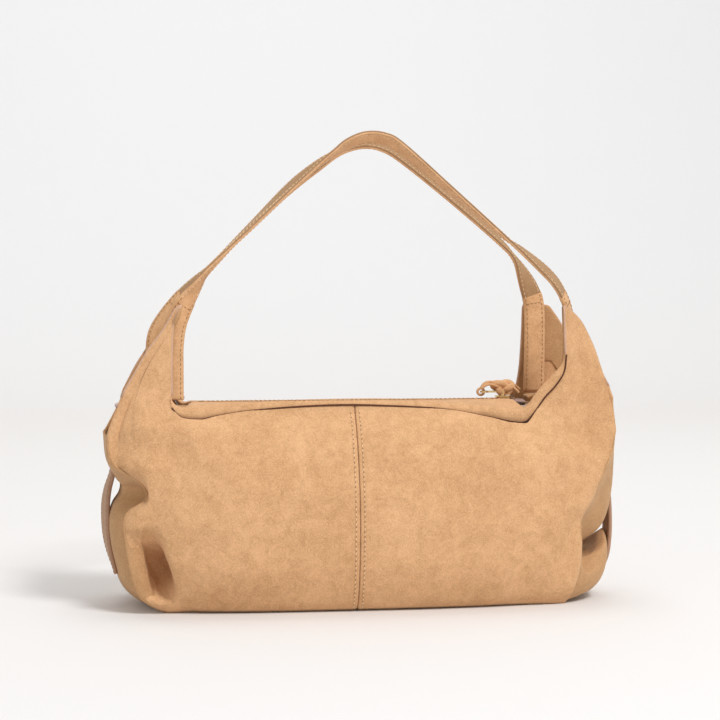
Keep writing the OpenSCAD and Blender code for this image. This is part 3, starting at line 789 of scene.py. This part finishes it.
# ------------------------------------------------------------------ end bands
# Middle line of the band at each end, x and z, and how far its middle is turned.
BANDS = {"right": [(200, 22), (204.5, 34), (206.3, 48), (206.6, 62), (206, 76), (204.8, 90), (204, 104)],
         "left": [(197.5, 26), (200.8, 37), (203.6, 49), (205, 62), (205.2, 80), (203.4, 93),
                  (200, 105), (199, 116)]}
BAND_TURN = {"right": 0, "left": 12}
BAND_W, BAND_HALF_T = 21, 1.4
BAND_ROW = 8.2  # from the middle of the band to its stitches
for side in ("left", "right"):
    sign = 1 if side == "right" else -1
    line = spline(BANDS[side], 70)
    p = np.stack([line[:, 0] * sign, 0 * line[:, 0], line[:, 1]], 1)
    tangent = tangents(p)
    turn = math.radians(BAND_TURN[side]) * np.sin(np.linspace(0, math.pi, len(p)))
    across = np.stack([np.sin(turn), sign * np.cos(turn), 0 * turn], 1)
    across = square_to(across, tangent)
    out = np.cross(across, tangent)
    o = mesh_object(f"end_band_{side}_skin",
                    *ribbon(p, across, out, BAND_W, -BAND_HALF_T, BAND_HALF_T, inset=0.4))
    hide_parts(f"end_band_{side}")
    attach(o, "bag")
    o["look"] = "band"
    thread = Gather()
    for k in (-1, 1):
        for d in (-1, 1):
            stitches(thread, p + across * k * BAND_ROW + out * d * 1.35, out * d,
                     length=2.6, gap=1.2, radius=0.22, lift=0)
    o = thread.make(f"end_band_{side}_stitches")
    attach(o, "bag")
    o["look"] = "dark_thread_and_hole_shade"

# ------------------------------------------------------------------ middle seams
SEAM_ROW = 2.6  # from the seam to the stitches on either side
for face, sign in (("front", -1), ("back", 1)):
    thread, holes = Gather(), Gather()
    for side in ("left", "right"):
        rows = shell[side, face][2:-2]
        rows = rows if seam_first(side, face) else rows[:, ::-1]
        run = np.cumsum(np.linalg.norm(np.diff(rows, axis=1), axis=2), axis=1)
        line = np.array([[np.interp(SEAM_ROW, run[i], rows[i, 1:, c]) for c in range(3)]
                         for i in range(len(rows))])
        n = unit(np.cross(np.gradient(line, axis=0), [1.0, 0, 0]))
        n *= np.sign(n[:, 1:2]) * sign
        stitches(thread, line, n, length=2.3, gap=1.5, radius=0.36, lift=0.2)
        # dark dots in the gaps between the stitches: painted shade in the stitch holes
        stitches(holes, line, n, length=0.8, gap=3.0, radius=0.42, lift=0, phase=0.5)
    for gather, part, look in ((thread, "stitches", "thread"), (holes, "holes", "dark_thread_and_hole_shade")):
        o = gather.make(f"middle_seam_{face}_{part}")
        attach(o, "bag")
        o["look"] = look

# ------------------------------------------------------------------ knotted pull
pull = Gather()
RING = np.array([99.7, 0, 167.9])
KNOT_AT = np.array([118, 0, 171.6])
KNOT_R = 2.9


def strip_along(points, width, thick):
    p = spline(points, 46)
    tangent = tangents(p)
    across = square_to(np.tile([0, 1.0, 0], (len(p), 1)), tangent)
    return ribbon(p, across, np.cross(across, tangent), width, -thick / 2, thick / 2, inset=0.25)


a = np.linspace(math.radians(-60), math.radians(300), 30)
loop = RING + np.stack([2.7 * np.cos(a), 0 * a, 2.7 * np.sin(a)], 1)
pull.add(*tube(loop, 1.05, sides=10))
# the two strips from the ring to the knot
for points in ([(100, -0.3, 170.2), (103, -1.2, 173), (107.5, -2, 174), (112, -1.8, 172.6), (116, -1, 171.5)],
               [(100, 0.4, 170.4), (103, 1.4, 174.2), (108, 2.4, 175.8), (113, 2, 174.6), (117, 1, 173)]):
    pull.add(*strip_along(points, 5.6, 1.8))
# the knot, a closed trefoil
t = np.linspace(0, 2 * math.pi, 90, endpoint=False)
knot = np.stack([(np.sin(t) + 2 * np.sin(2 * t)) * 2.7, (np.cos(t) - 2 * np.cos(2 * t)) * 1.5,
                 -np.sin(3 * t) * 2.4], 1)
knot = np.vstack([knot, knot[:1]])[:, [0, 2, 1]] + KNOT_AT
pull.add(*tube(knot, KNOT_R + 0.2 * np.sin(5 * np.linspace(0, 6.28, 91)), sides=12))
# the two tails
for points in ([(121, -1.5, 172.4), (125, -2.6, 171.8), (128.5, -3, 169.4), (130.5, -3.1, 167)],
               [(121, 1.5, 174), (125.5, 2.2, 174), (129.5, 2.8, 172), (132.5, 3, 169.4)]):
    pull.add(*strip_along(points, 4.6, 1.9))
o = pull.make("zip_pull_knot_skin")
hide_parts("zip_pull_knot")
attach(o, "pull_knot")
o["look"] = "suede"


# ------------------------------------------------------------------ lining
LINING_X = 151
LINING_GAP = 5


def lining_point(angle, z, inset):
    x = LINING_X * np.sign(np.cos(angle)) * np.abs(np.cos(angle)) ** 0.5
    x = x * mix(1, 0.9, smooth(115, 150, z))
    y = (BELLY * curve(SIDE, z) - LINING_GAP - inset) * np.sin(angle) ** 0.5
    return x, y


def lining_grid(a0, a1, z0, z1, cols, rows, inset, back):
    ang, z = np.meshgrid(np.linspace(a0, a1, cols), np.linspace(z0, z1, rows))
    x, y = lining_point(ang, z, inset)
    g = np.stack([x, y, z], 2)
    wave = noise(g, 60, 11) * 0.7 * np.sin(ang)
    g[..., 1] -= np.abs(wave) * 0.8
    if not back:
        g[..., 1] *= -1
        return g[:, ::-1]
    return g


# name, at the back, first angle in degrees, lowest and highest z, inset, thickness, columns and rows
for name, back, a0, z0, z1, inset, thick, size in (
        ("lining_front", False, 2.0, 7, 158, 0, 0.9, (70, 40)),
        ("lining_back", True, 2.0, 7, 158, 0, 0.9, (70, 40)),
        ("inner_pocket", True, 62, 60, 131, 2.4, 0.9, (40, 24)),
        ("plain_patch", True, 85, 111, 123, 4.6, 0.8, (14, 10))):
    g = lining_grid(math.radians(a0), math.radians(180 - a0), z0, z1, *size, inset, back)
    o = sheet_object(name + "_skin", g, thick)
    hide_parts(name)
    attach(o, "bag")
    o["look"] = "lining" if name != "plain_patch" else "suede_back"


def plate(name, lx, ly, z, thick, look, wave=0.0):
    a = np.linspace(0, 2 * math.pi, 97)
    ring = np.stack([lx * np.sign(np.cos(a)) * np.abs(np.cos(a)) ** 0.57,
                     ly * np.sign(np.sin(a)) * np.abs(np.sin(a)) ** 0.57], 1)
    r = np.array([0.02, 0.3, 0.6, 0.85, 0.97, 1])
    g = np.stack([np.outer(r, ring[:, 0]), np.outer(r, ring[:, 1]), np.zeros((6, 97)) + z], 2)
    g[..., 2] += wave * noise(g, 80, 4)
    o = sheet_object(name + "_skin", g[::-1], thick)
    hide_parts(name)
    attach(o, "bag")
    o["look"] = look


plate("base_panel", 160, 52.6, 2.4, 2.0, "suede_back")
plate("lining_base", 148, 50, 7.4, 0.9, "lining", 0.25)


# ------------------------------------------------------------------ materials
def new_material(name):
    mat = bpy.data.materials.new(name)
    mat.use_nodes = True
    return mat, mat.node_tree, mat.node_tree.nodes.get("Principled BSDF")


def texture(nt, kind, **settings):
    """A procedural texture in the object's own coordinates."""
    coords = nt.nodes.new("ShaderNodeTexCoord")
    node = nt.nodes.new(kind)
    for name, value in settings.items():
        node.inputs[name].default_value = value
    nt.links.new(coords.outputs["Object"], node.inputs["Vector"])
    return node


def maths(nt, operation, first, second, third=None):
    """The result of a sum on the socket first; second is a number or a socket, third a socket."""
    node = nt.nodes.new("ShaderNodeMath")
    node.operation = operation
    nt.links.new(first, node.inputs[0])
    if isinstance(second, float):
        node.inputs[1].default_value = second
    else:
        nt.links.new(second, node.inputs[1])
    if third is not None:
        nt.links.new(third, node.inputs[2])
    return node.outputs[0]


def colour_between(nt, bsdf, fac, dark, light, low=0.0, high=1.0):
    """Base colour that runs from dark at low to light at high."""
    ramp = nt.nodes.new("ShaderNodeValToRGB")
    for end, (place, colour) in enumerate(((low, dark), (high, light))):
        ramp.color_ramp.elements[end].position = place
        ramp.color_ramp.elements[end].color = (*colour, 1)
    nt.links.new(fac, ramp.inputs["Fac"])
    nt.links.new(ramp.outputs["Color"], bsdf.inputs["Base Color"])


def roughness_between(nt, bsdf, fac, low, high):
    span = nt.nodes.new("ShaderNodeMapRange")
    span.inputs["To Min"].default_value = low
    span.inputs["To Max"].default_value = high
    nt.links.new(fac, span.inputs["Value"])
    nt.links.new(span.outputs["Result"], bsdf.inputs["Roughness"])


def add_bump(nt, height, strength, distance, under=None):
    """A bump, laid over the one before it if there is one; distance in metres."""
    bump = nt.nodes.new("ShaderNodeBump")
    bump.inputs["Strength"].default_value = strength
    bump.inputs["Distance"].default_value = distance
    nt.links.new(height, bump.inputs["Height"])
    if under is not None:
        nt.links.new(under, bump.inputs["Normal"])
    return bump.outputs["Normal"]


def make_suede(name, light, dark, grain=1.0):
    """Suede whose colour varies in wide patches, in the nap and in fine grain."""
    mat, nt, bsdf = new_material(name)
    kind = "ShaderNodeTexNoise"
    patches = texture(nt, kind, Scale=14, Detail=4, Roughness=0.55, Distortion=0.6).outputs["Fac"]
    nap = texture(nt, kind, Scale=95, Detail=5, Roughness=0.6, Distortion=0.8).outputs["Fac"]
    fine = texture(nt, kind, Scale=900, Detail=4, Roughness=0.7, Distortion=0).outputs["Fac"]
    mottle = maths(nt, "MULTIPLY", patches, 0.3)
    mottle = maths(nt, "MULTIPLY_ADD", nap, 0.35, mottle)
    mottle = maths(nt, "MULTIPLY_ADD", fine, 0.65, mottle)
    mottle = maths(nt, "SUBTRACT", mottle, 0.15)
    colour_between(nt, bsdf, mottle, dark, light, 0.36, 0.64)
    roughness_between(nt, bsdf, nap, 0.82, 0.98)
    grained = add_bump(nt, fine, 0.6 * grain, 0.0006)
    nt.links.new(add_bump(nt, nap, 0.25 * grain, 0.0012, grained), bsdf.inputs["Normal"])
    bsdf.inputs["Sheen Weight"].default_value = 0.25
    bsdf.inputs["Sheen Roughness"].default_value = 0.45
    bsdf.inputs["Sheen Tint"].default_value = (1.0, 0.82, 0.6, 1)
    bsdf.inputs["Specular IOR Level"].default_value = 0.15
    return mat


def make_metal(name, colour):
    """Polished metal with faint wear."""
    mat, nt, bsdf = new_material(name)
    wear = texture(nt, "ShaderNodeTexNoise", Scale=260, Detail=5).outputs["Fac"]
    roughness_between(nt, bsdf, wear, 0.16, 0.36)
    colour_between(nt, bsdf, wear, [c * 0.82 for c in colour], colour)
    bsdf.inputs["Metallic"].default_value = 1.0
    return mat


def make_cloth(name, light, dark, threads):
    """Plain weave, from waves that run two ways."""
    mat, nt, bsdf = new_material(name)
    weave = []
    for direction in ("X", "Z"):
        wave = texture(nt, "ShaderNodeTexWave", Scale=threads, Distortion=0.6)
        wave.bands_direction = direction
        weave.append(wave.outputs["Fac"])
    crossing = maths(nt, "MULTIPLY", *weave)
    colour_between(nt, bsdf, crossing, dark, light)
    nt.links.new(add_bump(nt, crossing, 0.3, 0.0004), bsdf.inputs["Normal"])
    bsdf.inputs["Roughness"].default_value = 0.85
    bsdf.inputs["Specular IOR Level"].default_value = 0.2
    return mat


LOOKS = {
    "suede": make_suede("suede", (0.795, 0.475, 0.253), (0.54, 0.292, 0.135)),
    # a darker copy of the suede; on the end gussets it is painted shade
    "suede_back": make_suede("suede_back", (0.62, 0.36, 0.18), (0.44, 0.24, 0.11)),
    # a darker copy of the suede: painted shade on the strap's inner face
    "suede_under_painted_shade": make_suede("suede_under_painted_shade", (0.44, 0.26, 0.135), (0.33, 0.185, 0.09)),
    "edge": make_suede("edge", (0.66, 0.43, 0.31), (0.54, 0.33, 0.22), 0.3),
    "band": make_suede("band", (0.50, 0.305, 0.205), (0.40, 0.235, 0.15), 0.5),
    "edge_dark": make_suede("edge_dark", (0.13, 0.055, 0.03), (0.09, 0.035, 0.02), 0.2),
    "thread": make_suede("thread", (0.90, 0.66, 0.42), (0.80, 0.55, 0.32), 0.3),
    # dark thread, and painted shade for the stitch holes of the middle seams
    "dark_thread_and_hole_shade": make_suede("dark_thread_and_hole_shade", (0.42, 0.24, 0.11), (0.34, 0.18, 0.08), 0.3),
    "lilac": make_suede("lilac", (0.66, 0.50, 0.44), (0.55, 0.39, 0.33), 0.3),
    "lining": make_cloth("lining", (0.60, 0.47, 0.37), (0.48, 0.36, 0.28), 420),
    "tape": make_cloth("tape", (0.48, 0.34, 0.30), (0.30, 0.20, 0.17), 700),
    "gold": make_metal("gold", (0.83, 0.60, 0.28)),
    "board": make_suede("board", (0.12, 0.10, 0.09), (0.08, 0.07, 0.06), 0.2),
    "floor": make_suede("floor", (0.82, 0.82, 0.825), (0.82, 0.82, 0.825), 0),
}
# CAD pieces that show as they are.
KEPT = {"zip_teeth_front": "gold", "zip_teeth_back": "gold", "zip_slider": "gold", "zip_pull_tab": "gold",
        "zip_bottom_stop": "gold", "base_board": "board"}
for name, look in KEPT.items():
    node = frame["nodes"][name]
    for holder in node.material_slots:
        holder.link = "OBJECT"
        holder.material = LOOKS[look]


# ------------------------------------------------------------------ stage and light
def add_stage():
    """A seamless pale sweep: floor, curve and wall."""
    a = np.linspace(0, math.pi / 2, 25)
    back, bend = 1900.0, 1500.0
    y = np.concatenate([[-7000, -3000, 0], back + bend * np.sin(a), [back + bend]])
    z = np.concatenate([[0, 0, 0], bend * (1 - np.cos(a)), [7000]])
    g = np.stack([np.broadcast_to(np.linspace(-9000, 9000, 5)[None, :], (len(y), 5)),
                  np.broadcast_to(y[:, None], (len(y), 5)), np.broadcast_to(z[:, None], (len(y), 5))], 2)
    sweep = mesh_object("sweep", g.reshape(-1, 3), grid_quads(len(y), 5))
    sweep.location.z = -0.0003
    sweep["look"] = "floor"
    world = bpy.data.worlds.new("studio")
    bpy.context.scene.world = world
    world.use_nodes = True
    world.node_tree.nodes["Background"].inputs["Color"].default_value = (1.0, 1.0, 1.0, 1)
    world.node_tree.nodes["Background"].inputs["Strength"].default_value = 0.52

    def area(name, place, at, size, power, colour=(1, 1, 1)):
        light = bpy.data.lights.new(name, "AREA")
        light.shape, light.size, light.energy, light.color = "SQUARE", size, power, colour
        o = bpy.data.objects.new(name, light)
        o.location = place
        o.rotation_euler = (Vector(at) - Vector(place)).to_track_quat("-Z", "Y").to_euler()
        bpy.context.scene.collection.objects.link(o)

    area("key", (1.3, -2.2, 3.1), (0, 0, 0.15), 0.9, 92)
    area("fill", (-2.6, -2.4, 1.4), (0, 0, 0.12), 2.4, 8)
    area("backdrop", (0, 0.9, 3.4), (0, 3.0, 0.6), 2.0, 40)


add_stage()
bpy.context.scene.view_settings.view_transform = "Standard"

for o in bpy.data.objects:
    if o.type in ("MESH", "CURVE") and "look" in o:
        o.data.materials.clear()
        o.data.materials.append(LOOKS[o["look"]])
